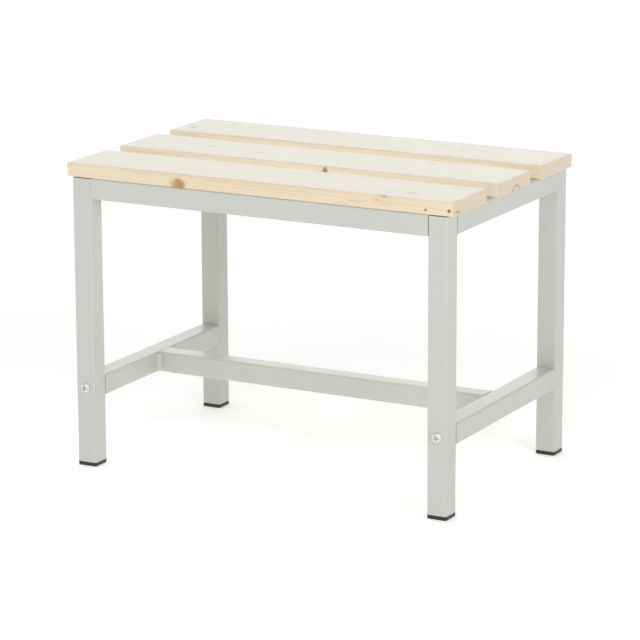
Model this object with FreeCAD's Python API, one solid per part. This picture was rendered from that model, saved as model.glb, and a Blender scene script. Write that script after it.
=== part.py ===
# Slatted locker room bench: softwood slats screwed to a painted frame of square steel tube,
# with a welded H of stretchers bolted between the four legs.
# Millimetres. The origin is on the floor under the middle of the seat.
# +X runs along the seat to its right end, +Y to its rear and +Z up.
import FreeCAD
import Part
import math
import os

Vector = FreeCAD.Vector

# Seat
SLAT_NAMES = ("front", "middle", "rear")
SEAT_LENGTH = 600.0
SEAT_HEIGHT = 440.0
SLAT_WIDTH = 105.0
SLAT_THICKNESS = 20.0
SLAT_GAP = 35.0
SLAT_EDGE_RADIUS = 2.5
SLAT_END_RADIUS = 0.8
END_OVERHANG = 7.0
FRONT_OVERHANG = 1.0

# Square tube of the whole frame
TUBE_SIZE = 30.0
TUBE_WALL = 1.5
TUBE_CORNER_RADIUS = 3.0
TUBE_BORE_RADIUS_LEAST = 0.5
LEG_TOP_DROP = 1.0
STRETCHER_CENTRE_HEIGHT = 115.0

# Weld beads in the inside corners
WELD_LEG = 5.6
WELD_CROWN = 0.5

# Foot caps pushed into the legs
FOOT_HEAD_HEIGHT = 6.0
FOOT_EDGE_RADIUS = 2.0
FOOT_PLUG_LEAD = 3.0
FOOT_PLUG_WALL = 2.0
FOOT_FIN_DEPTH = 1.4
FOOT_FIN_THICKNESS = 1.2
FOOT_FIN_PITCH = 5.0
FOOT_FIN_COUNT = 3
FOOT_FIN_CLEARANCE = 0.1

# Machine screws that hold the stretchers to the legs
BOLT_DIAMETER = 8.0
BOLT_HOLE_CLEARANCE = 0.25
BOLT_THREAD_CLEARANCE = 0.05
BOLT_RUNOUT = 4.0
BOLT_TIP = 0.0
BOLT_HEAD_DIAMETER = 14.0
BOLT_HEAD_HEIGHT = 4.4
BOLT_HEAD_RIM = 1.4
BOLT_RECESS_SPAN = 7.4
BOLT_RECESS_WIDTH = 1.9
BOLT_RECESS_DEPTH = 2.8
END_PLATE_THICKNESS = 5.0
END_PLATE_CLEARANCE = 0.2

# Wood screws that hold the slats to the side rails
WOOD_SCREW_DIAMETER = 4.8
WOOD_SCREW_HOLE_CLEARANCE = 0.2
WOOD_SCREW_THREAD_CLEARANCE = 0.05
WOOD_SCREW_BITE = 14.0
WOOD_SCREW_TIP = 5.0
WOOD_SCREW_PILOT_RUNOUT = 1.0
WOOD_SCREW_HEAD_DIAMETER = 9.5
WOOD_SCREW_HEAD_HEIGHT = 3.0
WOOD_SCREW_HEAD_RIM = 0.8
WOOD_SCREW_RECESS_SPAN = 4.8
WOOD_SCREW_RECESS_WIDTH = 1.1
WOOD_SCREW_RECESS_DEPTH = 1.9
WOOD_SCREW_EDGE_MARGIN = 18.0

# A cross recess narrows to these shares of its mouth at its floor
RECESS_FLOOR_SPAN = 0.5
RECESS_FLOOR_WIDTH = 0.7

# Places that follow from the sizes above
SLAT_PITCH = SLAT_WIDTH + SLAT_GAP
SEAT_DEPTH = len(SLAT_NAMES) * SLAT_WIDTH + (len(SLAT_NAMES) - 1) * SLAT_GAP
FRAME_LENGTH = SEAT_LENGTH - 2 * END_OVERHANG
FRAME_DEPTH = SEAT_DEPTH - 2 * FRONT_OVERHANG
LEG_X = (FRAME_LENGTH - TUBE_SIZE) / 2
LEG_Y = (FRAME_DEPTH - TUBE_SIZE) / 2
SPAN_X = FRAME_LENGTH - 2 * TUBE_SIZE
SPAN_Y = FRAME_DEPTH - 2 * TUBE_SIZE
RAIL_TOP = SEAT_HEIGHT - SLAT_THICKNESS
RAIL_BOTTOM = RAIL_TOP - TUBE_SIZE
RAIL_CENTRE_HEIGHT = RAIL_TOP - TUBE_SIZE / 2
TUBE_BORE = TUBE_SIZE - 2 * TUBE_WALL
TUBE_BORE_RADIUS = max(TUBE_CORNER_RADIUS - TUBE_WALL, TUBE_BORE_RADIUS_LEAST)
FOOT_PLUG_HEIGHT = FOOT_FIN_COUNT * FOOT_FIN_PITCH + FOOT_PLUG_LEAD

SIDES = (("left", -1), ("right", 1))
ENDS = (("front", -1), ("rear", 1))
UP = Vector(0, 0, 1)
ALONG_X = Vector(1, 0, 0)
ALONG_Y = Vector(0, 1, 0)


def placed(shape, base, axis=UP):
    """A copy of a shape that was drawn along +Z from the origin, moved to base and turned to axis."""
    moved = shape.copy()
    moved.Placement = FreeCAD.Placement(base, FreeCAD.Rotation(UP, axis))
    return moved


def edges_along(shape, axis):
    """The straight edges of a shape that run along axis."""
    parallel = 1 - 1e-6
    found = []
    for edge in shape.Edges:
        if abs(edge.tangentAt(edge.FirstParameter).dot(axis)) > parallel:
            found.append(edge)
    return found


def edges_at(shape, axis, place):
    """The edges of a shape that lie in the plane at place along axis."""
    flat = 1e-6
    found = []
    for edge in shape.Edges:
        box = edge.BoundBox
        low = Vector(box.XMin, box.YMin, box.ZMin).dot(axis)
        high = Vector(box.XMax, box.YMax, box.ZMax).dot(axis)
        if abs(low - place) < flat and abs(high - place) < flat:
            found.append(edge)
    return found


def square_bar(side, corner_radius, length):
    """A bar of square section with rounded long edges, standing on the origin."""
    bar = Part.makeBox(side, side, length, Vector(-side / 2, -side / 2, 0))
    return bar.makeFillet(corner_radius, edges_along(bar, UP))


def square_tube(length):
    """A length of the frame's tube, cut square at both ends, standing on the origin."""
    outside = square_bar(TUBE_SIZE, TUBE_CORNER_RADIUS, length)
    return outside.cut(square_bar(TUBE_BORE, TUBE_BORE_RADIUS, length))


def round_hole(diameter, start, axis, length):
    """The round cutter for a hole, from start along axis."""
    return Part.makeCylinder(diameter / 2, length, start, axis)


def cross_recess(span, width, depth):
    """The cutter for a cross-shaped driver recess, whose mouth is at the origin and whose floor is below."""

    def rectangle(length, breadth, height):
        corners = [(-1, -1), (1, -1), (1, 1), (-1, 1), (-1, -1)]
        return Part.makePolygon([Vector(i * length / 2, j * breadth / 2, height) for i, j in corners])

    floor_span = span * RECESS_FLOOR_SPAN
    floor_width = width * RECESS_FLOOR_WIDTH
    one = Part.makeLoft([rectangle(floor_span, floor_width, -depth), rectangle(span, width, 0)], True, True)
    other = Part.makeLoft([rectangle(floor_width, floor_span, -depth), rectangle(width, span, 0)], True, True)
    return one.fuse(other)


def domed_screw(shank, shank_diameter, tip, head_diameter, head_height, rim, recess):
    """A screw with a domed head, seated at the origin: the head rises along +Z and the shank hangs below.

    The half section is turned about Z. The dome is an arc from the top of the rim to the crown.
    recess gives the span, width and depth of the cross recess.
    """
    head = head_diameter / 2
    body = shank_diameter / 2
    crown = head_height - rim
    sphere = (head * head + crown * crown) / (2 * crown)
    half_turn = math.asin(head / sphere) / 2
    middle = Vector(sphere * math.sin(half_turn), 0, head_height - sphere * (1 - math.cos(half_turn)))
    dome = Part.Arc(Vector(head, 0, rim), middle, Vector(0, 0, head_height)).toShape()
    outline = [
        Vector(0, 0, head_height),
        Vector(0, 0, -shank),
        Vector(body, 0, tip - shank),
        Vector(body, 0, 0),
        Vector(head, 0, 0),
        Vector(head, 0, rim),
    ]
    section = Part.Face(Part.Wire(Part.makePolygon(outline).Edges + [dome]))
    screw = section.revolve(Vector(0, 0, 0), UP, 360)
    span, width, depth = recess
    cutter = cross_recess(span, width, depth)
    cutter.translate(Vector(0, 0, head_height))
    return screw.cut(cutter)


def slat_centre(index):
    """The Y place of the middle of a slat, counted from the front."""
    return (index - (len(SLAT_NAMES) - 1) / 2) * SLAT_PITCH


def slat_screw_places(index):
    """The X and Y places of one slat's screws: two in each side rail, clear of the slat's and the rail's ends."""
    low = max(slat_centre(index) - SLAT_WIDTH / 2, -SPAN_Y / 2) + WOOD_SCREW_EDGE_MARGIN
    high = min(slat_centre(index) + SLAT_WIDTH / 2, SPAN_Y / 2) - WOOD_SCREW_EDGE_MARGIN
    return [(side * LEG_X, y) for _, side in SIDES for y in (low, high)]


def slat(index):
    """A board with eased long edges, lightly sanded ends and blind pilot holes in its underside."""
    corner = Vector(-SEAT_LENGTH / 2, slat_centre(index) - SLAT_WIDTH / 2, RAIL_TOP)
    board = Part.makeBox(SEAT_LENGTH, SLAT_WIDTH, SLAT_THICKNESS, corner)
    board = board.makeFillet(SLAT_EDGE_RADIUS, edges_along(board, ALONG_X))
    ends = edges_at(board, ALONG_X, -SEAT_LENGTH / 2) + edges_at(board, ALONG_X, SEAT_LENGTH / 2)
    board = board.makeFillet(SLAT_END_RADIUS, ends)
    pilot = WOOD_SCREW_DIAMETER + 2 * WOOD_SCREW_THREAD_CLEARANCE
    depth = WOOD_SCREW_BITE + WOOD_SCREW_PILOT_RUNOUT
    for x, y in slat_screw_places(index):
        board = board.cut(round_hole(pilot, Vector(x, y, RAIL_TOP), UP, depth))
    return board


def slat_screws(index):
    """The wood screws of one slat, driven up from under the side rails."""
    screw = domed_screw(
        TUBE_SIZE + WOOD_SCREW_BITE,
        WOOD_SCREW_DIAMETER,
        WOOD_SCREW_TIP,
        WOOD_SCREW_HEAD_DIAMETER,
        WOOD_SCREW_HEAD_HEIGHT,
        WOOD_SCREW_HEAD_RIM,
        (WOOD_SCREW_RECESS_SPAN, WOOD_SCREW_RECESS_WIDTH, WOOD_SCREW_RECESS_DEPTH),
    )
    places = [Vector(x, y, RAIL_BOTTOM) for x, y in slat_screw_places(index)]
    return Part.makeCompound([placed(screw, place, -UP) for place in places])


def long_rail(end):
    """The rail along the front or the rear of the seat, between two legs."""
    return placed(square_tube(SPAN_X), Vector(-SPAN_X / 2, end * LEG_Y, RAIL_CENTRE_HEIGHT), ALONG_X)


def side_rail(side):
    """The rail across one end of the seat, drilled for the slats' screws through its lower and upper walls."""
    rail = placed(square_tube(SPAN_Y), Vector(side * LEG_X, -SPAN_Y / 2, RAIL_CENTRE_HEIGHT), ALONG_Y)
    hole = WOOD_SCREW_DIAMETER + 2 * WOOD_SCREW_HOLE_CLEARANCE
    for index in range(len(SLAT_NAMES)):
        for x, y in slat_screw_places(index):
            if x * side > 0:
                rail = rail.cut(round_hole(hole, Vector(x, y, RAIL_BOTTOM), UP, TUBE_SIZE))
    return rail


def leg(side, end):
    """A leg, drilled right through from front to rear for its stretcher's screw."""
    tube = square_tube(RAIL_TOP - LEG_TOP_DROP - FOOT_HEAD_HEIGHT)
    post = placed(tube, Vector(side * LEG_X, end * LEG_Y, FOOT_HEAD_HEIGHT))
    hole = BOLT_DIAMETER + 2 * BOLT_HOLE_CLEARANCE
    start = Vector(side * LEG_X, end * LEG_Y - TUBE_SIZE / 2, STRETCHER_CENTRE_HEIGHT)
    return post.cut(round_hole(hole, start, ALONG_Y, TUBE_SIZE))


def end_stretcher(side):
    """The stretcher between the front and rear legs of one end."""
    start = Vector(side * LEG_X, -SPAN_Y / 2, STRETCHER_CENTRE_HEIGHT)
    return placed(square_tube(SPAN_Y), start, ALONG_Y)


def centre_stretcher():
    """The long stretcher that joins the two end stretchers into an H."""
    return placed(square_tube(SPAN_X), Vector(-SPAN_X / 2, 0, STRETCHER_CENTRE_HEIGHT), ALONG_X)


def end_plate(side, end):
    """The tapped plate welded inside one end of an end stretcher, flush with the cut."""
    bar = square_bar(TUBE_BORE - 2 * END_PLATE_CLEARANCE, TUBE_BORE_RADIUS, END_PLATE_THICKNESS)
    thread = BOLT_DIAMETER + 2 * BOLT_THREAD_CLEARANCE
    bar = bar.cut(round_hole(thread, Vector(0, 0, 0), UP, END_PLATE_THICKNESS))
    return placed(bar, Vector(side * LEG_X, end * SPAN_Y / 2, STRETCHER_CENTRE_HEIGHT), ALONG_Y * -end)


def stretcher_bolt(side, end):
    """The machine screw through one leg into its stretcher's end plate, with its head on the leg's outer face."""
    bolt = domed_screw(
        TUBE_SIZE + END_PLATE_THICKNESS + BOLT_RUNOUT,
        BOLT_DIAMETER,
        BOLT_TIP,
        BOLT_HEAD_DIAMETER,
        BOLT_HEAD_HEIGHT,
        BOLT_HEAD_RIM,
        (BOLT_RECESS_SPAN, BOLT_RECESS_WIDTH, BOLT_RECESS_DEPTH),
    )
    seat = Vector(side * LEG_X, end * FRAME_DEPTH / 2, STRETCHER_CENTRE_HEIGHT)
    return placed(bolt, seat, ALONG_Y * end)


def foot_cap(side, end):
    """A moulded cap: a head as wide as the leg, and a hollow plug whose fins grip the leg's bore."""
    head = square_bar(TUBE_SIZE, TUBE_CORNER_RADIUS, FOOT_HEAD_HEIGHT)
    head = head.makeFillet(FOOT_EDGE_RADIUS, edges_at(head, UP, 0.0))
    fin_side = TUBE_BORE - 2 * FOOT_FIN_CLEARANCE
    plug_side = fin_side - 2 * FOOT_FIN_DEPTH
    plug = square_bar(plug_side, TUBE_BORE_RADIUS, FOOT_PLUG_HEIGHT)
    for number in range(FOOT_FIN_COUNT):
        fin = square_bar(fin_side, TUBE_BORE_RADIUS, FOOT_FIN_THICKNESS)
        fin.translate(Vector(0, 0, number * FOOT_FIN_PITCH + FOOT_FIN_PITCH / 2))
        plug = plug.fuse(fin)
    plug = plug.cut(square_bar(plug_side - 2 * FOOT_PLUG_WALL, TUBE_BORE_RADIUS, FOOT_PLUG_HEIGHT))
    plug.translate(Vector(0, 0, FOOT_HEAD_HEIGHT))
    return placed(head.fuse(plug).removeSplitter(), Vector(side * LEG_X, end * LEG_Y, 0))


def weld_bead(corner, x_way, y_way, centre_height):
    """A fillet bead that stands in an inside corner, with equal legs along x_way and y_way and a crowned face.

    It runs over the flat part of the tubes' faces and half way onto their rounded edges.
    """
    length = TUBE_SIZE - TUBE_CORNER_RADIUS
    base = corner + UP * (centre_height - length / 2)
    on_x = base + ALONG_X * (x_way * WELD_LEG)
    on_y = base + ALONG_Y * (y_way * WELD_LEG)
    outward = Vector(x_way, y_way, 0).normalize()
    crown = (on_x + on_y) / 2 + outward * WELD_CROWN
    face = Part.Arc(on_x, crown, on_y).toShape()
    section = Part.Face(Part.Wire([Part.makeLine(base, on_x), face, Part.makeLine(on_y, base)]))
    return section.extrude(UP * length)


def stretcher_weld_beads():
    """Two beads at each end of the centre stretcher, in front of it and behind it."""
    beads = []
    for _, side in SIDES:
        for _, end in ENDS:
            corner = Vector(side * SPAN_X / 2, end * TUBE_SIZE / 2, 0)
            beads.append(weld_bead(corner, -side, end, STRETCHER_CENTRE_HEIGHT))
    return Part.makeCompound(beads)


def frame_weld_beads():
    """One bead in each inside corner of the seat frame, where two rails meet at a leg."""
    beads = []
    for _, side in SIDES:
        for _, end in ENDS:
            corner = Vector(side * SPAN_X / 2, end * SPAN_Y / 2, 0)
            beads.append(weld_bead(corner, -side, -end, RAIL_CENTRE_HEIGHT))
    return Part.makeCompound(beads)


def bench():
    """Every piece of the bench by name."""
    pieces = {}
    for index, name in enumerate(SLAT_NAMES):
        pieces[f"slat_{name}"] = slat(index)
        pieces[f"slat_screws_{name}"] = slat_screws(index)
    for end_name, end in ENDS:
        pieces[f"{end_name}_rail"] = long_rail(end)
    for side_name, side in SIDES:
        pieces[f"{side_name}_rail"] = side_rail(side)
        pieces[f"{side_name}_stretcher"] = end_stretcher(side)
    pieces["centre_stretcher"] = centre_stretcher()
    for end_name, end in ENDS:
        for side_name, side in SIDES:
            corner = f"{end_name}_{side_name}"
            pieces[f"leg_{corner}"] = leg(side, end)
            pieces[f"foot_cap_{corner}"] = foot_cap(side, end)
            pieces[f"stretcher_screw_{corner}"] = stretcher_bolt(side, end)
            pieces[f"stretcher_end_plate_{corner}"] = end_plate(side, end)
    pieces["stretcher_weld_beads"] = stretcher_weld_beads()
    pieces["frame_weld_beads"] = frame_weld_beads()
    return pieces


os.makedirs("parts", exist_ok=True)
for node, shape in bench().items():
    shape.exportStep(os.path.join("parts", node + ".step"))
    print(f"{node}: {len(shape.Solids)} solid, {shape.Volume / 1000:.2f} cm3, valid {shape.isValid()}")
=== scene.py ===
import math
from collections import namedtuple
from functools import partial

import bmesh
import bpy
import numpy as np
from bpy.props import FloatProperty, FloatVectorProperty, PointerProperty
from mathutils import Matrix, Vector


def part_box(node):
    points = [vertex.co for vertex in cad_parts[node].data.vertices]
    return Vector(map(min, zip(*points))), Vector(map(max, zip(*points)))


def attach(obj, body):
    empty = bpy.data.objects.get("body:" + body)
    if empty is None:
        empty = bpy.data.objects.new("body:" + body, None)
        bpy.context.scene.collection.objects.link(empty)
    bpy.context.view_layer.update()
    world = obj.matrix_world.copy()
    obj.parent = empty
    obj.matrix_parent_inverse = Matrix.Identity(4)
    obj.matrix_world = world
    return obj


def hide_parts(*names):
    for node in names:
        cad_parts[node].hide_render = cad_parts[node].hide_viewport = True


bl_info = {
    "name": "Slatted Bench",
    "version": (1, 0, 0),
    "blender": (4, 5, 0),
    "location": "3D View > Sidebar > Bench",
    "description": "Boards, weld beads and finishes for a slatted bench, with a studio to see it in",
    "category": "Object",
}

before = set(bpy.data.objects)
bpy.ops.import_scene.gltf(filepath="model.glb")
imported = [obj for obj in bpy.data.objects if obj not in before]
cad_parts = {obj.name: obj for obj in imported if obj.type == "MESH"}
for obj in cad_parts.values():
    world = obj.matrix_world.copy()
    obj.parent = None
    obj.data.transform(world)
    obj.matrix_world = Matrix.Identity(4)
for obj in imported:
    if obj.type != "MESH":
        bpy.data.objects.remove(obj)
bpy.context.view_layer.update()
BODY = "root"
MM = 0.001
QUARTER_TURN = math.pi / 2
FULL_TURN = 2 * math.pi

# Kinds of shader node, and the eased kind of range
COORDINATES = "ShaderNodeTexCoord"
MAPPING = "ShaderNodeMapping"
NOISE = "ShaderNodeTexNoise"
MATH = "ShaderNodeMath"
VECTOR = "ShaderNodeVectorMath"
PARTS = "ShaderNodeSeparateXYZ"
RANGE = "ShaderNodeMapRange"
MIX = "ShaderNodeMix"
BUMP = "ShaderNodeBump"
GEOMETRY = "ShaderNodeNewGeometry"
SMOOTH = {"interpolation_type": "SMOOTHSTEP"}

# A mix node's sockets share their names, so they go by number: its share, then the two inputs and the
# output for each kind of value
SHARE = 0
NUMBER_A, NUMBER_B, NUMBER_OUT = 2, 3, 0
VECTOR_A, VECTOR_B, VECTOR_OUT = 4, 5, 1
COLOUR_A, COLOUR_B, COLOUR_OUT = 6, 7, 2

# Two spans that hold most values of a noise, and the middle of a noise in three parts
WIDE = (0.3, 0.7)
NARROW = (0.35, 0.65)
MIDDLE = (0.5, 0.5, 0.5)

# The bench's nodes by finish
BOARDS = ("slat_front", "slat_middle", "slat_rear")
RAILS = ("front_rail", "rear_rail", "left_rail", "right_rail")
STRETCHERS = ("left_stretcher", "right_stretcher", "centre_stretcher")
CORNERS = ("front_left", "front_right", "rear_left", "rear_right")
LEGS = tuple(f"leg_{corner}" for corner in CORNERS)
FOOT_CAPS = tuple(f"foot_cap_{corner}" for corner in CORNERS)
STRETCHER_SCREWS = tuple(f"stretcher_screw_{corner}" for corner in CORNERS)
END_PLATES = tuple(f"stretcher_end_plate_{corner}" for corner in CORNERS)
SLAT_SCREWS = ("slat_screws_front", "slat_screws_middle", "slat_screws_rear")
BEAD_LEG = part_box("stretcher_weld_beads")[1].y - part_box("centre_stretcher")[1].y

# How one board was cut. Its pith lies beside the board's middle, across and up, and leans from the board's
# length by two angles in degrees, about Y and Z. Then come the width of a year's ring, how strongly rings
# and fibres show on the edges, how tanned the wood is from 0 to 1, and a number for the board's own
# unevenness. Knots and marks give the face that they show on, two places, two half widths and how dark
# they are from 0 to 1. The places are along the board from its middle and up the front edge or back over
# the top, or back and up on the right end. Lengths are in millimetres.
Board = namedtuple("Board", "pith tilt ring figure tone seed knots marks")
CUTS = {
    "slat_front": Board(
        pith=(-74.0, 78.0),
        tilt=(1.1, -1.6),
        ring=2.7,
        figure=0.27,
        tone=0.36,
        seed=3,
        knots=(
            ("front", -118.8, 4.4, 10.4, 9.4, 0.0),
            ("front", 260.0, 6.4, 1.9, 1.8, 0.5),
            ("front", 294.8, 8.2, 2.8, 2.7, 1.0),
            ("end", 13.0, 4.7, 6.4, 1.5, 0.5),
        ),
        marks=(
            ("front", -130.0, 5.0, 5.0, 8.0, 0.5),
            ("front", -42.0, 17.0, 1.5, 1.2, 0.6),
            ("front", -298.6, 15.0, 1.6, 3.6, 1.0),
            ("front", 134.0, 3.0, 9.0, 2.4, 0.35),
            ("front", 156.0, 8.0, 14.0, 2.0, 0.25),
            ("front", 186.0, 14.0, 6.0, 3.0, 0.35),
            ("front", 198.0, 18.6, 6.0, 1.4, 0.9),
            ("front", 192.0, 7.0, 10.0, 2.2, 0.25),
            ("end", 20.0, 2.8, 9.0, 1.7, 0.8),
            ("top", 57.0, 97.0, 16.0, 3.5, 0.75),
            ("top", 195.0, 28.0, 5.0, 22.0, 0.45),
            ("top", 199.0, 56.0, 6.0, 3.0, 0.6),
            ("top", 196.0, 4.0, 10.0, 3.5, 0.75),
            ("top", 225.0, 30.0, 10.0, 9.0, 1.0),
            ("top", 265.0, 90.0, 14.0, 3.0, 0.75),
        ),
    ),
    "slat_middle": Board(
        pith=(3.5, -14.0),
        tilt=(0.3, 0.5),
        ring=4.4,
        figure=0.22,
        tone=0.13,
        seed=11,
        knots=(("front", 34.5, 14.0, 4.0, 4.6, 0.3),),
        marks=(
            ("top", -182.0, 56.0, 7.0, 8.0, 0.8),
            ("top", -93.0, 43.0, 5.0, 6.0, 0.8),
            ("top", -87.0, 96.0, 6.0, 4.5, 0.8),
            ("top", 154.0, 88.0, 12.0, 4.5, 0.8),
            ("front", 291.0, 9.0, 15.0, 12.0, 0.14),
        ),
    ),
    "slat_rear": Board(
        pith=(18.0, -96.0),
        tilt=(-1.4, 0.8),
        ring=3.1,
        figure=0.26,
        tone=0.15,
        seed=23,
        knots=(("top", 170.0, 97.0, 2.2, 1.6, 0.5),),
        marks=(
            ("top", -278.0, 33.0, 9.0, 8.0, 0.75),
            ("top", 153.0, 55.0, 7.0, 7.0, 0.75),
            ("front", 292.0, 9.0, 16.0, 12.0, 0.28),
        ),
    ),
}

# A knot or a fainter mark: its middle and how far it reaches each way, in metres, and how dark it is
Knot = namedtuple("Knot", "centre size dark")

# The knot nearest to a place: the place about it in its own radii, the length of that, and its darkness
Nearest = namedtuple("Nearest", "spot away dark")

# What the grain gives at a place: late wood, fibres, slow drifts, drying cracks, distance from the pith
Grain = namedtuple("Grain", "late fibre drift cracks from_pith")

# A streak up a knot: its middle, half width and reach in the knot's radii, then its share and its colour
Streak = namedtuple("Streak", "middle half reach share colour")


def linear(code):
    """An sRGB hex colour as linear red, green, blue and an alpha of one."""
    shares = [int(code[i:i + 2], 16) / 255 for i in (1, 3, 5)]
    return tuple(c / 12.92 if c <= 0.04045 else ((c + 0.055) / 1.055) ** 2.4 for c in shares) + (1.0,)


# Colour of the tent and of the lamps under the floor
WHITE = linear("#FFFFFF")

# Second colours of the materials, which go with the first ones in the settings
TANNED_WOOD = linear("#DDC29C")
FIBRE_TAN = linear("#D2B280")
HEART_RING = linear("#AB8A55")
PITH_CRACK = linear("#C0A27C")
EDGE_STAIN = linear("#C29A58")
TOP_STAIN = linear("#B39A72")
KNOT_HALO = linear("#E2BF88")
KNOT_RIM = linear("#AA8149")
DARK_KNOT = linear("#94693F")
CLOUDED_PAINT = linear("#C5C8C0")
CLOUDED_ZINC = linear("#D3D6D3")
PALER_PLASTIC = linear("#4A4B48")
MILL_SKIN = linear("#5F6062")

# A broad brown streak and a short dark drying crack, which knots show side by side
KNOT_STREAKS = (
    Streak(middle=-0.2, half=0.3, reach=1.4, share=0.75, colour=linear("#A9733F")),
    Streak(middle=0.26, half=0.19, reach=0.65, share=0.95, colour=linear("#6E4422")),
)

# How far the tent's lit parts spread: the cosines of the angles where each begins and where it is full
BACKDROP_SPREAD = (0.1, 0.95)
FILL_SPREAD = (0.4, 0.95)
ROOF_SPREAD = (0.35, 0.8)

# How much the backdrop's brightest part rises above the level, as a slope
BACKDROP_RISE = 0.25

# Width of the camera's sensor in millimetres, which its lens is given for
SENSOR_WIDTH = 36.0


class BoardSettings(bpy.types.PropertyGroup):
    """Sizes and colours of the boards"""

    edge_radius: FloatProperty(
        name="Edge radius", description="Radius of the eased long edges",
        default=2.5 * MM, unit="LENGTH", precision=5,
    )
    edge_spread: FloatProperty(
        name="Edge spread", description="How far the eased radius wanders along a board",
        default=0.5 * MM, unit="LENGTH", precision=5,
    )
    end_radius: FloatProperty(
        name="End radius", description="Radius sanded onto the sawn ends",
        default=0.9 * MM, unit="LENGTH", precision=5,
    )
    unevenness: FloatProperty(
        name="Unevenness", description="Height of the slow waves left on the planed faces",
        default=0.12 * MM, unit="LENGTH", precision=5,
    )
    knot_dip: FloatProperty(
        name="Knot dip", description="How far a knot has shrunk below the face",
        default=0.2 * MM, unit="LENGTH", precision=5,
    )
    knot_run: FloatProperty(
        name="Knot run", description="How deep a knot goes into the wood",
        default=14 * MM, unit="LENGTH", precision=5,
    )
    early_wood: FloatVectorProperty(
        name="Early wood", description="Pale wood between the rings",
        default=linear("#F2E7CF"), subtype="COLOR", size=4,
    )
    late_tint: FloatVectorProperty(
        name="Late wood tint", description="What the ring lines do to the pale wood",
        default=linear("#E9D9C2"), subtype="COLOR", size=4,
    )
    # Painted light: a greyer, slightly darker wood painted on the top, standing in for bright light
    # washing out the top's colour
    light_washed_top: FloatVectorProperty(
        name="Top wood", description="Wood that has greyed on the top",
        default=linear("#E5DFCB"), subtype="COLOR", size=4,
    )
    end_wood: FloatVectorProperty(
        name="End wood", description="Wood sawn across the grain",
        default=linear("#D3BE9C"), subtype="COLOR", size=4,
    )
    knot_wood: FloatVectorProperty(
        name="Knot wood", description="Body of a knot",
        default=linear("#C49B5F"), subtype="COLOR", size=4,
    )


class WeldSettings(bpy.types.PropertyGroup):
    """Sizes of the weld beads"""

    leg: FloatProperty(
        name="Leg", description="How far a bead reaches along each face",
        default=BEAD_LEG, unit="LENGTH", precision=5,
    )
    crown: FloatProperty(
        name="Crown", description="Rise of the bead's middle above a flat fillet",
        default=0.55 * MM, unit="LENGTH", precision=5,
    )
    ripple: FloatProperty(
        name="Ripple", description="Height of the ripples that the pool left",
        default=0.12 * MM, unit="LENGTH", precision=5,
    )
    pitch: FloatProperty(
        name="Ripple pitch", description="Distance from ripple to ripple",
        default=2.2 * MM, unit="LENGTH", precision=5,
    )


class FinishSettings(bpy.types.PropertyGroup):
    """Colours of the frame and its fittings"""

    paint: FloatVectorProperty(
        name="Paint", description="Powder coat on the tube",
        default=linear("#C9CBC5"), subtype="COLOR", size=4,
    )
    peel: FloatProperty(
        name="Peel", description="Width of the dimples in the powder coat",
        default=1.6 * MM, unit="LENGTH", precision=5,
    )
    plastic: FloatVectorProperty(
        name="Plastic", description="Moulded foot caps",
        default=linear("#272827"), subtype="COLOR", size=4,
    )
    zinc: FloatVectorProperty(
        name="Zinc", description="Plated screws",
        default=linear("#E6E8E3"), subtype="COLOR", size=4,
    )
    steel: FloatVectorProperty(
        name="Steel", description="Bare plates inside the stretchers",
        default=linear("#8A8A88"), subtype="COLOR", size=4,
    )


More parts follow.
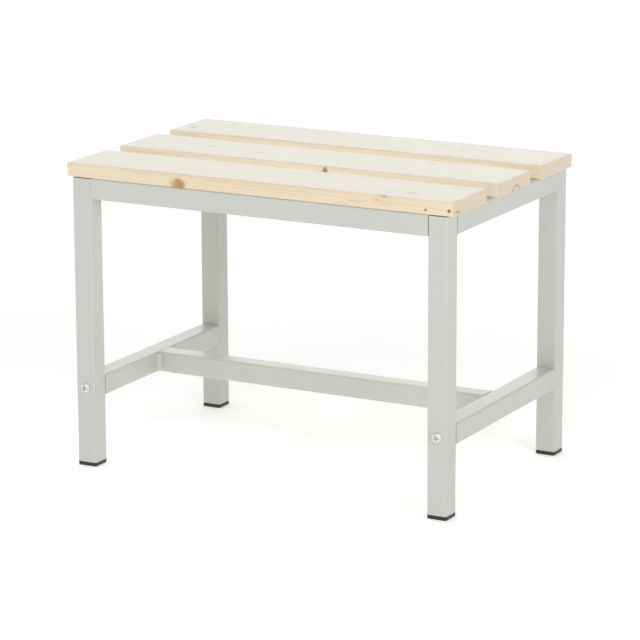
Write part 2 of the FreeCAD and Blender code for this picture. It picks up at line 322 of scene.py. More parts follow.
class StageSettings(bpy.types.PropertyGroup):
    """Camera, floor and light"""

    azimuth: FloatProperty(
        name="Azimuth", description="Camera's turn from the front",
        default=math.radians(28.31), subtype="ANGLE",
    )
    elevation: FloatProperty(
        name="Elevation", description="Camera's height angle",
        default=math.radians(13.95), subtype="ANGLE",
    )
    roll: FloatProperty(
        name="Roll", description="Camera's tilt",
        default=math.radians(-0.2), subtype="ANGLE",
    )
    distance: FloatProperty(
        name="Distance", description="Camera to bench",
        default=4.603, unit="LENGTH",
    )
    lens: FloatProperty(
        name="Lens", description="Focal length in millimetres",
        default=181.6, unit="CAMERA",
    )
    aim: FloatVectorProperty(
        name="Aim", description="Point in the middle of the picture",
        default=(-0.0025, 0.0, 0.2041), subtype="XYZ", size=3,
    )
    floor: FloatVectorProperty(
        name="Floor", description="Pale floor",
        default=linear("#F7F7F6"), subtype="COLOR", size=4,
    )
    floor_glow: FloatProperty(
        name="Floor glow", description="How strongly lamps under the sweep light it at the bench",
        default=0.29, min=0.0,
    )
    sweep_glow: FloatProperty(
        name="Sweep glow", description="How strongly those lamps light its far part",
        default=0.45, min=0.0,
    )
    glow_start: FloatProperty(
        name="Glow start", description="Distance at which the glow starts to grow",
        default=0.5, unit="LENGTH",
    )
    glow_end: FloatProperty(
        name="Glow end", description="Distance at which the glow is at its strongest",
        default=4.0, unit="LENGTH",
    )
    floor_width: FloatProperty(
        name="Floor width", description="Side of the floor",
        default=24.0, unit="LENGTH",
    )
    surround: FloatProperty(
        name="Surround", description="Strength of the white tent in front",
        default=0.07, min=0.0,
    )
    fill: FloatProperty(
        name="Fill", description="Strength of the white wall on the left",
        default=0.75, min=0.0,
    )
    fill_azimuth: FloatProperty(
        name="Fill azimuth", description="White wall's turn from the front",
        default=math.radians(-75), subtype="ANGLE",
    )
    fill_elevation: FloatProperty(
        name="Fill elevation", description="Height angle of the white wall's brightest part",
        default=math.radians(22), subtype="ANGLE",
    )
    backdrop: FloatProperty(
        name="Backdrop", description="Strength of the white tent behind",
        default=1.66, min=0.0,
    )
    overhead: FloatProperty(
        name="Overhead", description="Strength of the tent's roof",
        default=0.45, min=0.0,
    )
    front_power: FloatProperty(
        name="Front softbox", description="Power of the front softbox",
        default=116.0, min=0.0, unit="POWER",
    )
    front_azimuth: FloatProperty(
        name="Front azimuth", description="Front softbox's turn from the front",
        default=math.radians(6), subtype="ANGLE",
    )
    front_elevation: FloatProperty(
        name="Front elevation", description="Front softbox's height angle",
        default=math.radians(36), subtype="ANGLE",
    )
    side_power: FloatProperty(
        name="Side softbox", description="Power of the side softbox",
        default=150.0, min=0.0, unit="POWER",
    )
    side_azimuth: FloatProperty(
        name="Side azimuth", description="Side softbox's turn from the front",
        default=math.radians(62), subtype="ANGLE",
    )
    side_elevation: FloatProperty(
        name="Side elevation", description="Side softbox's height angle",
        default=math.radians(25), subtype="ANGLE",
    )
    softbox_distance: FloatProperty(
        name="Softbox distance", description="Softboxes to bench",
        default=7.0, unit="LENGTH",
    )
    softbox_width: FloatProperty(
        name="Softbox width", description="Side of each softbox",
        default=3.4, unit="LENGTH",
    )


class BenchSettings(bpy.types.PropertyGroup):
    """Everything a user would change on the bench"""

    boards: PointerProperty(type=BoardSettings)
    welds: PointerProperty(type=WeldSettings)
    finishes: PointerProperty(type=FinishSettings)
    stage: PointerProperty(type=StageSettings)


def set_inputs(tree, sockets, values):
    """Sets or links sockets, from a list in their order or a dictionary by their names or numbers.

    A range node's list is the value, the two ends that it comes from and the two that it goes to.
    """
    pairs = values.items() if isinstance(values, dict) else enumerate(values)
    for socket, value in pairs:
        if isinstance(value, bpy.types.NodeSocket):
            tree.links.new(value, sockets[socket])
        else:
            sockets[socket].default_value = value


def add_node(tree, kind, output, inputs=(), **settings):
    """Adds one node with its settings, sets or links its inputs, and returns the asked output."""
    node = tree.nodes.new(kind)
    for name, value in settings.items():
        setattr(node, name, value)
    set_inputs(tree, node.inputs, inputs)
    return node.outputs[output]


def new_material(name):
    """A new material with a principled surface. Returns it, its tree and the surface's inputs."""
    material = bpy.data.materials.new(name)
    material.use_nodes = True
    surface = material.node_tree.nodes["Principled BSDF"]
    return material, material.node_tree, surface.inputs


def finish_nodes(names, material):
    """Puts a material on CAD nodes in place of their plain one."""
    for name in names:
        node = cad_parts[name]
        for holder in node.material_slots:
            holder.material = material


def ring_faces(rings, points, start):
    """Quads between the rings of a tube whose corners count from start, and one flat face at each end."""
    ring, point = np.meshgrid(np.arange(rings - 1), np.arange(points), indexing="ij")
    following = (point + 1) % points
    quads = start + points * np.stack([ring, ring, ring + 1, ring + 1], axis=-1)
    quads += np.stack([point, following, following, point], axis=-1)
    first = start + np.arange(points)
    last = first + points * (rings - 1)
    return quads.reshape(-1, 4).tolist() + [first.tolist(), last.tolist()]


def add_piece(name, shells, material, replaced):
    """One object made of closed shells of rings, facing outwards, in place of a CAD node.

    Each shell is an array of rings by points by three. Its round is smooth and its two ends are flat.
    """
    faces = []
    smooth = []
    start = 0
    for shell in shells:
        rings, points, _ = shell.shape
        made = ring_faces(rings, points, start)
        faces += made
        smooth += [True] * (len(made) - 2) + [False, False]
        start += rings * points
    corners = np.concatenate([shell.reshape(-1, 3) for shell in shells])
    mesh = bpy.data.meshes.new(name)
    mesh.from_pydata(corners.tolist(), [], faces)
    mesh.polygons.foreach_set("use_smooth", smooth)
    work = bmesh.new()
    work.from_mesh(mesh)
    bmesh.ops.recalc_face_normals(work, faces=work.faces)
    work.to_mesh(mesh)
    work.free()
    mesh.materials.append(material)
    piece = bpy.data.objects.new(name, mesh)
    bpy.context.scene.collection.objects.link(piece)
    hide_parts(replaced)
    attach(piece, BODY)


def board_knots(node, flaws, run):
    """A board's knots or marks in the bench's frame. Each runs into the wood from the face it shows on."""
    low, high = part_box(node)
    middle = (low.x + high.x) / 2
    knots = []
    for face, *lengths, dark in flaws:
        first, second, half_first, half_second = (length * MM for length in lengths)
        if face == "front":
            centre = (middle + first, low.y, low.z + second)
            size = (half_first, run, half_second)
        elif face == "top":
            centre = (middle + first, low.y + second, high.z)
            size = (half_first, half_second, run)
        else:
            centre = (high.x, low.y + first, low.z + second)
            size = (run, half_first, half_second)
        knots.append(Knot(centre, size, dark))
    return knots


def waves(places, count, shortest, longest, chance):
    """The mean of some sine waves of random length and phase along places, so from -1 to 1 at most."""
    lengths = chance.uniform(shortest, longest, count)
    phases = chance.uniform(0, FULL_TURN, count)
    total = np.zeros_like(places)
    for length, phase in zip(lengths, phases):
        total += np.sin(FULL_TURN * places / length + phase)
    return total / count


def board_stations(half_length, end_radius):
    """Places along a board, and how far its section draws in at each.

    It draws in on a quarter circle at both ends, and not at all between them.
    """
    step = 2.2 * MM
    end_steps = 5
    turn = np.linspace(0, QUARTER_TURN, end_steps + 1)
    inner = half_length - end_radius
    body = np.linspace(-inner, inner, int(2 * inner / step))[1:-1]
    end = inner + end_radius * np.sin(turn)
    draw = end_radius * (1 - np.cos(turn))
    places = np.concatenate([-end[::-1], body, end])
    drawn_in = np.concatenate([draw[::-1], np.zeros_like(body), draw])
    return places, drawn_in


def board_section(top_steps, side_steps, corner_steps):
    """The round of a board's section, as leans towards its corners and outward normals.

    The upper half goes up the front edge, round a quarter turn, across the top, round a quarter turn and
    down the rear edge. The lower half is its mirror image, taken back to the start.
    """
    rise = np.linspace(0, 1, side_steps, endpoint=False)
    turn = np.linspace(0, QUARTER_TURN, corner_steps + 1)
    across = np.linspace(-1, 1, top_steps + 1)[1:-1]
    edge, corner, flat = np.ones_like(rise), np.ones_like(turn), np.ones_like(across)
    upper = np.stack([
        np.concatenate([-edge, -corner, across, corner, edge]),
        np.concatenate([rise, corner, flat, corner, rise[::-1]]),
        np.concatenate([-edge, -np.cos(turn), 0 * flat, np.sin(turn), edge]),
        np.concatenate([0 * edge, np.sin(turn), flat, np.cos(turn), 0 * edge]),
    ])
    upside_down = np.array([[1], [-1], [1], [-1]])
    lower = upper[:, -2:0:-1] * upside_down
    whole = np.concatenate([upper, lower], axis=1)
    return whole[:2].T, whole[2:].T


def board_shell(node, cut, settings):
    """A planed board as rings along X.

    A point is its corner's lean times the half size less the eased radius, plus the radius along the
    normal. The radius and the faces wander by slow waves, knots dip, and at the ends the section draws in
    on a quarter circle. The underside stays flat on the rails.
    """
    low, high = (np.array(corner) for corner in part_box(node))
    middle, half = (low + high) / 2, (high - low) / 2
    chance = np.random.default_rng(cut.seed)
    x, drawn_in = board_stations(half[0], settings.end_radius)
    wander = waves(x, count=5, shortest=50 * MM, longest=400 * MM, chance=chance)
    radius = settings.edge_radius + settings.edge_spread * wander
    lean, normal = board_section(top_steps=44, side_steps=6, corner_steps=6)
    inset = half[1:] - radius[:, None, None]
    section = lean[None] * inset + (radius - drawn_in)[:, None, None] * normal[None]
    along = np.broadcast_to(x[:, None, None], section.shape[:2] + (1,))
    points = np.concatenate([along, section], axis=2) + middle

    # Planing leaves waves that run aslant, three times closer across the board than along it
    aslant = points[..., 0] + 3 * points[..., 1]
    lift = settings.unevenness * waves(aslant, count=4, shortest=80 * MM, longest=300 * MM, chance=chance)
    for knot in board_knots(node, cut.knots, settings.knot_run):
        away = np.linalg.norm((points - np.array(knot.centre)) / np.array(knot.size), axis=2)
        lift -= settings.knot_dip * np.exp(-away ** 2)

    # The lift is whole where the surface looks up or sideways, and fades to nothing on the underside
    above = np.clip(normal[:, 1] + 1, 0, 1)
    points[..., 1:] += (lift * above[None])[..., None] * normal[None]
    return points


def bead_shell(corner, ways, low, high, settings):
    """A fillet bead that stands in an inside corner, as rings along Z.

    Round the corner by angle, the radius is that of a flat fillet plus a crown, with ripples that bow
    along the bead and fade at its toes. The bead draws in towards both ends on a blunt curve. The corner
    itself closes each ring.
    """
    ring_count = 64
    arc_count = 19
    end_size = 0.3
    bluntness = 7
    ripple_bow = 0.55
    height = np.linspace(low, high, ring_count)
    angle = np.linspace(0, QUARTER_TURN, arc_count)
    from_middle = 2 * (height - low) / (high - low) - 1
    size = end_size + (1 - end_size) * np.sqrt(1 - np.abs(from_middle) ** bluntness)
    fade = np.sin(2 * angle)
    fillet = settings.leg / (np.cos(angle) + np.sin(angle)) + settings.crown * fade
    phase = height[:, None] / settings.pitch + ripple_bow * fade[None]
    ripple = settings.ripple * fade[None] * np.cos(FULL_TURN * phase)
    radius = size[:, None] * (fillet[None] + ripple)
    points = np.zeros((ring_count, arc_count + 1, 3))
    points[:, 1:, 0] = ways[0] * radius * np.cos(angle)
    points[:, 1:, 1] = ways[1] * radius * np.sin(angle)
    points[:, :, 2] = height[:, None]
    return points + np.array([corner[0], corner[1], 0.0])


def nearest_knot(tree, place, knots):
    """The knot nearest to a place, by measuring from each in its own radii and keeping the least."""
    add = partial(add_node, tree)
    nearest = None
    for knot in knots:
        offset = add(VECTOR, "Vector", [place, knot.centre], operation="SUBTRACT")
        spot = add(VECTOR, "Vector", [offset, knot.size], operation="DIVIDE")
        away = add(VECTOR, "Value", [spot], operation="LENGTH")
        if nearest is None:
            nearest = Nearest(spot, away, knot.dark)
        else:
            closer = add(MATH, "Value", [away, nearest.away], operation="LESS_THAN")
            spots = {SHARE: closer, VECTOR_A: nearest.spot, VECTOR_B: spot}
            darks = {SHARE: closer, NUMBER_A: nearest.dark, NUMBER_B: knot.dark}
            nearest = Nearest(
                spot=add(MIX, VECTOR_OUT, spots, data_type="VECTOR"),
                away=add(MATH, "Value", [nearest.away, away], operation="MINIMUM"),
                dark=add(MIX, NUMBER_OUT, darks, data_type="FLOAT"),
            )
    return nearest


def pine_rings(tree, turned, from_pith, knots, marks, ring_width):
    """The late wood of each year's ring, from 0 in pale wood to 1 in its dark line.

    A ring's place is the distance from the pith, warped along the grain and pushed outwards round knots
    and marks. Each year darkens slowly and stops short, and years differ in width.
    """
    add = partial(add_node, tree)
    warp_lengths = (220 * MM, 34 * MM, 34 * MM)
    warp_height = 9 * MM
    knot_push = 7 * MM
    knot_reach = (0.2, 3.2)
    mark_push = 3 * MM
    mark_reach = (0.0, 2.0)
    uneven_pace = 0.45
    uneven_years = 1.6
    darkening = (0.25, 0.9)
    stopping = (0.9, 1.0)
    flow = add(VECTOR, "Vector", [turned, warp_lengths], operation="DIVIDE")
    flow = add(NOISE, "Fac", {"Vector": flow, "Scale": 1.0, "Detail": 2.0})
    warp = add(MATH, "Value", [flow, warp_height], operation="MULTIPLY")
    push = add(RANGE, "Result", [knots.away, *knot_reach, knot_push, 0.0], **SMOOTH)
    swirl = add(RANGE, "Result", [marks.away, *mark_reach, mark_push, 0.0], **SMOOTH)
    ring = from_pith
    for shift in (warp, push, swirl):
        ring = add(MATH, "Value", [ring, shift], operation="ADD")
    years = add(MATH, "Value", [ring, ring_width], operation="DIVIDE")
    uneven = add(NOISE, "Fac", {"W": years, "Scale": uneven_pace, "Detail": 1.0}, noise_dimensions="1D")
    uneven = add(MATH, "Value", [uneven, uneven_years], operation="MULTIPLY")
    years = add(MATH, "Value", [years, uneven], operation="ADD")
    season = add(MATH, "Value", [years], operation="FRACT")
    darken = add(RANGE, "Result", [season, *darkening, 0.0, 1.0], **SMOOTH)
    stop = add(RANGE, "Result", [season, *stopping, 1.0, 0.0], **SMOOTH)
    return add(MATH, "Value", [darken, stop], operation="MULTIPLY")


def pine_cracks(tree, turned, from_pith):
    """Fine drying cracks that run out from the pith, from a noise on the angle about it: 1 in a crack.

    They fade out between 15 and 40 mm from the pith.
    """
    add = partial(add_node, tree)
    fading = (15 * MM, 40 * MM)
    rays_per_radian = 9.0
    crack_edge = (0.6, 0.68)
    fade = add(RANGE, "Result", [from_pith, *fading, 1.0, 0.0], **SMOOTH)
    across = add(PARTS, "Y", [turned])
    up = add(PARTS, "Z", [turned])
    angle = add(MATH, "Value", [across, up], operation="ARCTAN2")
    rays = add(NOISE, "Fac", {"W": angle, "Scale": rays_per_radian, "Detail": 2.0}, noise_dimensions="1D")
    crack = add(RANGE, "Result", [rays, *crack_edge, 0.0, 1.0], **SMOOTH)
    return add(MATH, "Value", [crack, fade], operation="MULTIPLY")


def pine_grain(tree, place, node, cut, knots, marks):
    """The grain of a board, which runs along a pith that leans a little from the board's length.

    Fibres are finer than a pixel, so they are drawn about four times too wide.
    """
    add = partial(add_node, tree)
    fibre_lengths = (45 * MM, 1.1 * MM, 1.1 * MM)
    drift_lengths = (160 * MM, 26 * MM, 26 * MM)
    low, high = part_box(node)
    middle = (low + high) / 2
    pith = (middle.x, middle.y + cut.pith[0] * MM, middle.z + cut.pith[1] * MM)
    lean = (0.0, math.radians(cut.tilt[0]), math.radians(cut.tilt[1]))
    turning = {"Vector": place, "Location": pith, "Rotation": lean}
    turned = add(MAPPING, "Vector", turning, vector_type="TEXTURE")
    across = add(VECTOR, "Vector", [turned, (0, 1, 1)], operation="MULTIPLY")
    from_pith = add(VECTOR, "Value", [across], operation="LENGTH")
    fibre = add(VECTOR, "Vector", [turned, fibre_lengths], operation="DIVIDE")
    drift = add(VECTOR, "Vector", [place, drift_lengths], operation="DIVIDE")
    return Grain(
        late=pine_rings(tree, turned, from_pith, knots, marks, cut.ring * MM),
        fibre=add(NOISE, "Fac", {"Vector": fibre, "Scale": 1.0, "Detail": 3.0}),
        drift=add(NOISE, "Fac", {"Vector": drift, "Scale": 1.0, "Detail": 2.0}),
        cracks=pine_cracks(tree, turned, from_pith),
        from_pith=from_pith,
    )


def pine_wood(tree, cut, settings, grain, end, top):
    """Clear wood: its drifting tone, fibres, a top painted greyer as painted light, sawn ends and rings.

    About the pith, the sawn ends also show one dark ring and the drying cracks.
    """
    add = partial(add_node, tree)
    tone_swing = 0.4
    fibre_edge = (0.52, 0.75)
    top_washout_share = 0.7
    end_browning = 0.6
    top_figure = 0.2
    end_figure = 0.35
    heart_radius = 13 * MM
    heart_edge = (0.7 * MM, 2.8 * MM)
    heart_share = 0.9
    crack_share = 0.45
    early, late_tint = tuple(settings.early_wood), tuple(settings.late_tint)
    light_washed_top, end_wood = tuple(settings.light_washed_top), tuple(settings.end_wood)

    tones = ((1 - tone_swing) * cut.tone, (1 + tone_swing) * cut.tone)
    tone = add(RANGE, "Result", [grain.drift, *WIDE, *tones])
    colour = add(MIX, COLOUR_OUT, {SHARE: tone, COLOUR_A: early, COLOUR_B: TANNED_WOOD}, data_type="RGBA")
    streak = add(RANGE, "Result", [grain.fibre, *fibre_edge, 0.0, cut.figure])
    colour = add(MIX, COLOUR_OUT, {SHARE: streak, COLOUR_A: colour, COLOUR_B: FIBRE_TAN}, data_type="RGBA")
    # Painted light: the top is painted greyer and a little darker, standing in for bright light washing
    # out its colour
    greyed = add(MATH, "Value", [top, top_washout_share], operation="MULTIPLY")
    colour = add(MIX, COLOUR_OUT, {SHARE: greyed, COLOUR_A: colour, COLOUR_B: light_washed_top}, data_type="RGBA")
    sawn = add(MATH, "Value", [end, end_browning], operation="MULTIPLY")
    colour = add(MIX, COLOUR_OUT, {SHARE: sawn, COLOUR_A: colour, COLOUR_B: end_wood}, data_type="RGBA")

    figure = add(RANGE, "Result", [top, 0.0, 1.0, cut.figure, top_figure])
    figure = add(RANGE, "Result", [end, 0.0, 1.0, figure, end_figure])
    figure = add(MATH, "Value", [grain.late, figure], operation="MULTIPLY")
    tinted = {SHARE: figure, COLOUR_A: colour, COLOUR_B: late_tint}
    colour = add(MIX, COLOUR_OUT, tinted, data_type="RGBA", blend_type="MULTIPLY")

    heart = add(MATH, "Value", [grain.from_pith, heart_radius], operation="SUBTRACT")
    heart = add(MATH, "Value", [heart], operation="ABSOLUTE")
    heart = add(RANGE, "Result", [heart, *heart_edge, heart_share, 0.0], **SMOOTH)
    heart = add(MATH, "Value", [heart, end], operation="MULTIPLY")
    colour = add(MIX, COLOUR_OUT, {SHARE: heart, COLOUR_A: colour, COLOUR_B: HEART_RING}, data_type="RGBA")
    cracked = add(MATH, "Value", [grain.cracks, end], operation="MULTIPLY")
    cracked = add(MATH, "Value", [cracked, crack_share], operation="MULTIPLY")
    return add(MIX, COLOUR_OUT, {SHARE: cracked, COLOUR_A: colour, COLOUR_B: PITH_CRACK}, data_type="RGBA")


def pine_marks(tree, colour, fibre, top, marks):
    """Wood with its faint marks: smudges broken by fibres, amber on the edges and grey on the top."""
    add = partial(add_node, tree)
    smudge_edge = (0.3, 1.3)
    smudge_share = 0.75
    fibre_shares = (0.3, 1.2)
    smudge = add(RANGE, "Result", [marks.away, *smudge_edge, smudge_share, 0.0], **SMOOTH)
    smudge = add(MATH, "Value", [smudge, marks.dark], operation="MULTIPLY")
    broken = add(RANGE, "Result", [fibre, *NARROW, *fibre_shares])
    smudge = add(MATH, "Value", [smudge, broken], operation="MULTIPLY")
    stain = add(MIX, COLOUR_OUT, {SHARE: top, COLOUR_A: EDGE_STAIN, COLOUR_B: TOP_STAIN}, data_type="RGBA")
    return add(MIX, COLOUR_OUT, {SHARE: smudge, COLOUR_A: colour, COLOUR_B: stain}, data_type="RGBA")


def pine_knots(tree, colour, knots, knot_wood):
    """Wood with its knots: an amber halo, a tan body with a streak and a crack, and a brown rim.

    Dark knots are brown all over. The edges of halo, rim and body and the streaks' fade are in radii.
    """
    add = partial(add_node, tree)
    halo_edge = (0.9, 1.6)
    halo_share = 0.55
    rim_edge = (0.6, 0.95)
    rim_share = 0.5
    body_edge = (0.75, 1.1)
    streak_fade = 0.6
    halo = add(RANGE, "Result", [knots.away, *halo_edge, halo_share, 0.0], **SMOOTH)
    colour = add(MIX, COLOUR_OUT, {SHARE: halo, COLOUR_A: colour, COLOUR_B: KNOT_HALO}, data_type="RGBA")
    side = add(PARTS, "X", [knots.spot])
    height = add(PARTS, "Z", [knots.spot])
    body = tuple(knot_wood)
    for streak in KNOT_STREAKS:
        line = add(MATH, "Value", [side, streak.middle], operation="SUBTRACT")
        line = add(MATH, "Value", [line], operation="ABSOLUTE")
        line = add(RANGE, "Result", [line, 0.0, streak.half, streak.share, 0.0], **SMOOTH)
        fade = add(RANGE, "Result", [height, streak.reach - streak_fade, streak.reach, 1.0, 0.0], **SMOOTH)
        line = add(MATH, "Value", [line, fade], operation="MULTIPLY")
        browned = {SHARE: line, COLOUR_A: body, COLOUR_B: streak.colour}
        body = add(MIX, COLOUR_OUT, browned, data_type="RGBA")
    body = add(MIX, COLOUR_OUT, {SHARE: knots.dark, COLOUR_A: body, COLOUR_B: DARK_KNOT}, data_type="RGBA")
    rim = add(RANGE, "Result", [knots.away, *rim_edge, 0.0, rim_share], **SMOOTH)
    body = add(MIX, COLOUR_OUT, {SHARE: rim, COLOUR_A: body, COLOUR_B: KNOT_RIM}, data_type="RGBA")
    inside = add(RANGE, "Result", [knots.away, *body_edge, 1.0, 0.0], **SMOOTH)
    return add(MIX, COLOUR_OUT, {SHARE: inside, COLOUR_A: colour, COLOUR_B: body}, data_type="RGBA")


def planed_pine(node, cut, settings):
    """Planed pine under a thin clear lacquer.

    Year rings about the pith give straight fine lines on the faces and arcs on the sawn ends. The eye
    also sees short fibre streaks, slow drifts of tone, knots that the rings flow round, and a soft gloss.
    The top is painted greyer and a little darker: painted light that stands in for bright light washing
    out its colour.
    """
    material, tree, surface = new_material(f"planed_pine_{node}")
    add = partial(add_node, tree)
    place = add(COORDINATES, "Object")

    # Knots have slightly uneven outlines, so their distances read a shaken place
    shake_length = 5 * MM
    shake_width = 2.2 * MM
    shake = add(NOISE, "Color", {"Vector": place, "Scale": 1 / shake_length, "Detail": 2.0})
    shake = add(VECTOR, "Vector", [shake, MIDDLE], operation="SUBTRACT")
    shake = add(VECTOR, "Vector", {0: shake, "Scale": shake_width}, operation="SCALE")
    shaken = add(VECTOR, "Vector", [place, shake], operation="ADD")
    knots = nearest_knot(tree, shaken, board_knots(node, cut.knots, settings.knot_run))
    marks = nearest_knot(tree, shaken, board_knots(node, cut.marks, settings.knot_run))
    grain = pine_grain(tree, place, node, cut, knots, marks)

    # Shares of end grain and of top, by the way that the surface faces
    end_facing = (0.6, 0.95)
    top_facing = (0.93, 0.995)
    normal = add(GEOMETRY, "Normal")
    endways = add(MATH, "Value", [add(PARTS, "X", [normal])], operation="ABSOLUTE")
    end = add(RANGE, "Result", [endways, *end_facing], **SMOOTH)
    top = add(RANGE, "Result", [add(PARTS, "Z", [normal]), *top_facing], **SMOOTH)

    colour = pine_wood(tree, cut, settings, grain, end, top)
    colour = pine_marks(tree, colour, grain.fibre, top, marks)
    colour = pine_knots(tree, colour, knots, settings.knot_wood)
    ridges = add(MATH, "Value", [grain.late, grain.fibre], operation="ADD")

    # Planed fibres stand up a little, which pales the wood at a low angle as sheen does
    set_inputs(tree, surface, {
        "Base Color": colour,
        "Roughness": add(RANGE, "Result", [grain.fibre, *WIDE, 0.46, 0.58]),
        "Normal": add(BUMP, "Normal", {"Height": ridges, "Strength": 0.35, "Distance": 0.06 * MM}),
        "IOR": 1.5,
        "Sheen Weight": 0.8,
        "Sheen Roughness": 0.5,
    })
    return material


def powder_coat(settings):
    """Light grey polyester powder coat, baked on steel.

    That gives a satin skin with fine dimples and an almost even colour.
    """
    material, tree, surface = new_material("powder_coated_steel")
    add = partial(add_node, tree)
    cloud_width = 60 * MM
    cloud_share = 0.4
    place = add(COORDINATES, "Object")
    peel = add(NOISE, "Fac", {"Vector": place, "Scale": 1 / settings.peel, "Detail": 2.0})
    cloud = add(NOISE, "Fac", {"Vector": place, "Scale": 1 / cloud_width, "Detail": 3.0})
    shade = add(RANGE, "Result", [cloud, *NARROW, 0.0, cloud_share])
    paints = {SHARE: shade, COLOUR_A: tuple(settings.paint), COLOUR_B: CLOUDED_PAINT}
    set_inputs(tree, surface, {
        "Base Color": add(MIX, COLOUR_OUT, paints, data_type="RGBA"),
        "Roughness": add(RANGE, "Result", [peel, *WIDE, 0.28, 0.32]),
        "Normal": add(BUMP, "Normal", {"Height": peel, "Strength": 0.2, "Distance": 0.008 * MM}),
        "IOR": 1.5,
    })
    return material


def zinc_plate(settings):
    """Bright zinc plate on turned steel.

    That gives a clean silver with faint turning marks round each head and a cloudy bloom. The marks are
    drawn a few times too wide, because the real ones are too fine to show.
    """
    material, tree, surface = new_material("zinc_plated_steel")
    add = partial(add_node, tree)
    turning_pitch = 0.35 * MM
    bloom_width = 2.5 * MM
    bloom_share = 0.5
    low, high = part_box("stretcher_screw_front_right")
    middle = (low + high) / 2
    place = add(COORDINATES, "Object")

    # The four heads mirror each other, so folding the place onto one of them centres the marks on all
    folded = add(VECTOR, "Vector", [place], operation="ABSOLUTE")
    offset = add(VECTOR, "Vector", [folded, (middle.x, 0.0, middle.z)], operation="SUBTRACT")
    offset = add(VECTOR, "Vector", [offset, (1, 0, 1)], operation="MULTIPLY")
    from_axis = add(VECTOR, "Value", [offset], operation="LENGTH")
    rounds = {"W": from_axis, "Scale": 1 / turning_pitch, "Detail": 2.0}
    turning = add(NOISE, "Fac", rounds, noise_dimensions="1D")
    bloom = add(NOISE, "Fac", {"Vector": place, "Scale": 1 / bloom_width, "Detail": 3.0})
    shade = add(RANGE, "Result", [bloom, *NARROW, 0.0, bloom_share])
    zincs = {SHARE: shade, COLOUR_A: tuple(settings.zinc), COLOUR_B: CLOUDED_ZINC}
    set_inputs(tree, surface, {
        "Base Color": add(MIX, COLOUR_OUT, zincs, data_type="RGBA"),
        "Roughness": add(RANGE, "Result", [bloom, *WIDE, 0.42, 0.54]),
        "Normal": add(BUMP, "Normal", {"Height": turning, "Strength": 0.25, "Distance": 0.03 * MM}),
        "Metallic": 1.0,
    })
    return material


def moulded_plastic(settings):
    """Black polyethylene, moulded in a spark-eroded tool.

    That gives a dark grey with a fine even grain, and paler patches, more of them towards the bottom. The
    grain is drawn a few times too wide, because the real one is too fine to show.
    """
    material, tree, surface = new_material("moulded_black_polyethylene")
    add = partial(add_node, tree)
    grain_width = 0.7 * MM
    patch_width = 4 * MM
    patch_fade_height = 4 * MM
    patch_edge = (0.45, 0.7)
    patch_shares = (0.8, 0.2)
    place = add(COORDINATES, "Object")
    grain = add(NOISE, "Fac", {"Vector": place, "Scale": 1 / grain_width, "Detail": 2.0})
    patches = add(NOISE, "Fac", {"Vector": place, "Scale": 1 / patch_width, "Detail": 4.0})
    # Paler grey in patches, strongest at the bottom and fading up to the given height
    low = add(RANGE, "Result", [add(PARTS, "Z", [place]), 0.0, patch_fade_height, *patch_shares])
    paler_share = add(RANGE, "Result", [patches, *patch_edge, 0.0, 1.0])
    paler_share = add(MATH, "Value", [paler_share, low], operation="MULTIPLY")
    plastics = {SHARE: paler_share, COLOUR_A: tuple(settings.plastic), COLOUR_B: PALER_PLASTIC}
    set_inputs(tree, surface, {
        "Base Color": add(MIX, COLOUR_OUT, plastics, data_type="RGBA"),
        "Roughness": add(RANGE, "Result", [grain, *WIDE, 0.42, 0.56]),
        "Normal": add(BUMP, "Normal", {"Height": grain, "Strength": 0.4, "Distance": 0.05 * MM}),
        "IOR": 1.51,
    })
    return material


def bare_steel(settings):
    """Hot-rolled plate, sawn and tapped: dull grey steel with a blotchy mill skin."""
    material, tree, surface = new_material("hot_rolled_steel")
    add = partial(add_node, tree)
    blotch_width = 6 * MM
    place = add(COORDINATES, "Object")
    skin = add(NOISE, "Fac", {"Vector": place, "Scale": 1 / blotch_width, "Detail": 4.0})
    shade = add(RANGE, "Result", [skin, *NARROW])
    steels = {SHARE: shade, COLOUR_A: tuple(settings.steel), COLOUR_B: MILL_SKIN}
    set_inputs(tree, surface, {
        "Base Color": add(MIX, COLOUR_OUT, steels, data_type="RGBA"),
        "Roughness": add(RANGE, "Result", [skin, *WIDE, 0.35, 0.6]),
        "Metallic": 1.0,
    })
    return material


def direction(azimuth, elevation):
    """The way from the bench to a place seen at an azimuth from the front and an elevation."""
    level = math.cos(elevation)
    return Vector((math.sin(azimuth) * level, -math.cos(azimuth) * level, math.sin(elevation)))


def lay_floor(scene, settings):
    """A flat sweep of matt white paper, with lamps under it whose glow grows away from the bench."""
    half = settings.floor_width / 2
    corners = [(-half, -half, 0), (half, -half, 0), (half, half, 0), (-half, half, 0)]
    mesh = bpy.data.meshes.new("floor")
    mesh.from_pydata(corners, [], [(0, 1, 2, 3)])
    material, tree, surface = new_material("white_paper_sweep")
    add = partial(add_node, tree)
    away = add(VECTOR, "Value", [add(COORDINATES, "Object")], operation="LENGTH")
    glow = [away, settings.glow_start, settings.glow_end, settings.floor_glow, settings.sweep_glow]
    set_inputs(tree, surface, {
        "Base Color": tuple(settings.floor),
        "Roughness": 0.9,
        "Specular IOR Level": 0.2,
        "Emission Color": WHITE,
        "Emission Strength": add(RANGE, "Result", glow, **SMOOTH),
    })
    mesh.materials.append(material)
    floor = bpy.data.objects.new("floor", mesh)
    scene.collection.objects.link(floor)


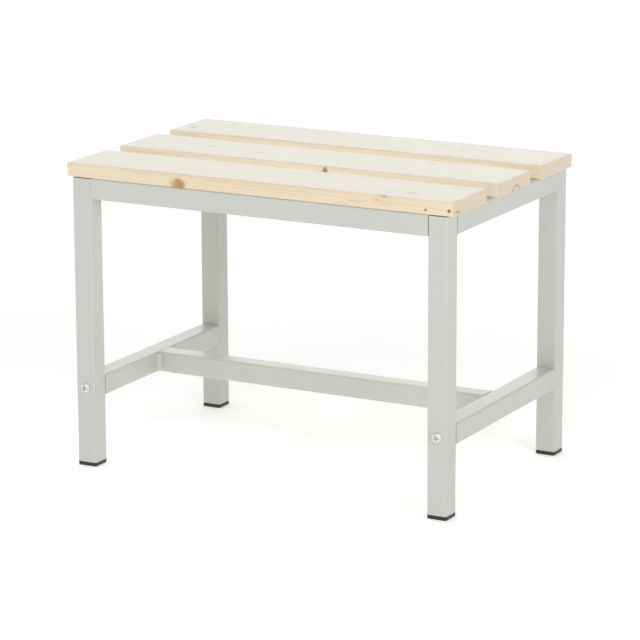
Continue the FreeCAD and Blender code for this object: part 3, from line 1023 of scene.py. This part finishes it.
def light_tent(scene, settings):
    """A white tent round the bench: dim in front, bright behind, with a lit left wall and an even roof."""
    world = bpy.data.worlds.new("white_surround")
    world.use_nodes = True
    tree = world.node_tree
    add = partial(add_node, tree)
    look = add(COORDINATES, "Generated")
    behind = (-math.sin(settings.azimuth), math.cos(settings.azimuth), BACKDROP_RISE)
    facing = add(VECTOR, "Value", [look, behind], operation="DOT_PRODUCT")
    glow = add(RANGE, "Result", [facing, *BACKDROP_SPREAD, settings.surround, settings.backdrop], **SMOOTH)
    left = direction(settings.fill_azimuth, settings.fill_elevation)
    beside = add(VECTOR, "Value", [look, left], operation="DOT_PRODUCT")
    fill = add(RANGE, "Result", [beside, *FILL_SPREAD, 0.0, settings.fill], **SMOOTH)
    glow = add(MATH, "Value", [glow, fill], operation="ADD")
    roof = add(RANGE, "Result", [add(PARTS, "Z", [look]), *ROOF_SPREAD], **SMOOTH)
    roofed = {SHARE: roof, NUMBER_A: glow, NUMBER_B: settings.overhead}
    glow = add(MIX, NUMBER_OUT, roofed, data_type="FLOAT")
    set_inputs(tree, tree.nodes["Background"].inputs, {"Color": WHITE, "Strength": glow})
    scene.world = world


def hang_softboxes(scene, settings):
    """Two square softboxes that face the camera's aim, one near the front and one to its right."""
    softboxes = {
        "front_softbox": (settings.front_azimuth, settings.front_elevation, settings.front_power),
        "side_softbox": (settings.side_azimuth, settings.side_elevation, settings.side_power),
    }
    for name, (azimuth, elevation, power) in softboxes.items():
        light = bpy.data.lights.new(name, "AREA")
        light.size = settings.softbox_width
        light.energy = power
        softbox = bpy.data.objects.new(name, light)
        towards = direction(azimuth, elevation)
        softbox.location = Vector(settings.aim) + towards * settings.softbox_distance
        softbox.rotation_euler = towards.to_track_quat("Z", "Y").to_euler()
        scene.collection.objects.link(softbox)


def place_camera(scene, settings):
    """A camera that looks at its aim from an azimuth and an elevation, rolled about the line of sight."""
    data = bpy.data.cameras.new("camera")
    data.sensor_width = SENSOR_WIDTH
    data.lens = settings.lens
    camera = bpy.data.objects.new("camera", data)
    turn, roll = settings.azimuth, settings.roll
    back = direction(turn, settings.elevation)
    right = Vector((math.cos(turn), math.sin(turn), 0.0))
    up = back.cross(right)
    tilted_right = right * math.cos(roll) + up * math.sin(roll)
    tilted_up = up * math.cos(roll) - right * math.sin(roll)
    camera.rotation_euler = Matrix((tilted_right, tilted_up, back)).transposed().to_euler()
    camera.location = Vector(settings.aim) + back * settings.distance
    scene.collection.objects.link(camera)
    scene.camera = camera


class BENCH_OT_boards(bpy.types.Operator):
    """Make the three planed boards in place of their plain solids"""

    bl_idname = "bench.boards"
    bl_label = "Boards"

    def execute(self, context):
        settings = context.scene.bench.boards
        for node in BOARDS:
            cut = CUTS[node]
            material = planed_pine(node, cut, settings)
            add_piece(f"{node}_board", [board_shell(node, cut, settings)], material, node)
        return {"FINISHED"}


class BENCH_OT_frame(bpy.types.Operator):
    """Powder coat the legs, rails and stretchers, and lay the rippled weld beads under the same coat"""

    bl_idname = "bench.frame"
    bl_label = "Frame"

    def execute(self, context):
        settings = context.scene.bench
        coat = powder_coat(settings.finishes)
        finish_nodes(LEGS + RAILS + STRETCHERS, coat)
        span_low, span_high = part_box("centre_stretcher")
        across_low, across_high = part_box("left_stretcher")
        groups = {
            "stretcher_weld_beads": (span_low.y, span_high.y, 1),
            "frame_weld_beads": (across_low.y, across_high.y, -1),
        }
        for group, (front, rear, outward) in groups.items():
            low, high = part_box(group)
            shells = []
            for x, x_way in ((span_low.x, 1), (span_high.x, -1)):
                for y, y_way in ((front, -outward), (rear, outward)):
                    shells.append(bead_shell((x, y), (x_way, y_way), low.z, high.z, settings.welds))
            add_piece(f"{group}_rippled", shells, coat, group)
        return {"FINISHED"}


class BENCH_OT_fittings(bpy.types.Operator):
    """Plate the screws, finish the foot caps and the plates inside the stretchers"""

    bl_idname = "bench.fittings"
    bl_label = "Fittings"

    def execute(self, context):
        settings = context.scene.bench.finishes
        finish_nodes(STRETCHER_SCREWS + SLAT_SCREWS, zinc_plate(settings))
        finish_nodes(FOOT_CAPS, moulded_plastic(settings))
        finish_nodes(END_PLATES, bare_steel(settings))
        return {"FINISHED"}


class BENCH_OT_stage(bpy.types.Operator):
    """Make the pale floor, the soft light and the camera"""

    bl_idname = "bench.stage"
    bl_label = "Stage"

    def execute(self, context):
        scene = context.scene
        settings = scene.bench.stage
        scene.view_settings.view_transform = "Standard"
        lay_floor(scene, settings)
        light_tent(scene, settings)
        hang_softboxes(scene, settings)
        place_camera(scene, settings)
        return {"FINISHED"}


class BENCH_PT_sidebar(bpy.types.Panel):
    """Lists the bench's operators and settings"""

    bl_idname = "BENCH_PT_sidebar"
    bl_label = "Slatted Bench"
    bl_space_type = "VIEW_3D"
    bl_region_type = "UI"
    bl_category = "Bench"

    def draw(self, context):
        layout = self.layout
        settings = context.scene.bench
        for operator, group in (
            (BENCH_OT_boards, settings.boards),
            (BENCH_OT_frame, settings.welds),
            (BENCH_OT_fittings, settings.finishes),
            (BENCH_OT_stage, settings.stage),
        ):
            box = layout.box()
            box.operator(operator.bl_idname)
            for name in group.__annotations__:
                box.prop(group, name)


CLASSES = (
    BoardSettings,
    WeldSettings,
    FinishSettings,
    StageSettings,
    BenchSettings,
    BENCH_OT_boards,
    BENCH_OT_frame,
    BENCH_OT_fittings,
    BENCH_OT_stage,
    BENCH_PT_sidebar,
)


def register():
    """Adds the classes to Blender and the settings to each scene."""
    for kind in CLASSES:
        bpy.utils.register_class(kind)
    bpy.types.Scene.bench = PointerProperty(type=BenchSettings)


def unregister():
    """Takes the settings and the classes away again."""
    del bpy.types.Scene.bench
    for kind in reversed(CLASSES):
        bpy.utils.unregister_class(kind)


def main():
    """Makes the whole bench and its stage."""
    register()
    bpy.ops.bench.boards()
    bpy.ops.bench.frame()
    bpy.ops.bench.fittings()
    bpy.ops.bench.stage()


if __name__ == "__main__":
    main()
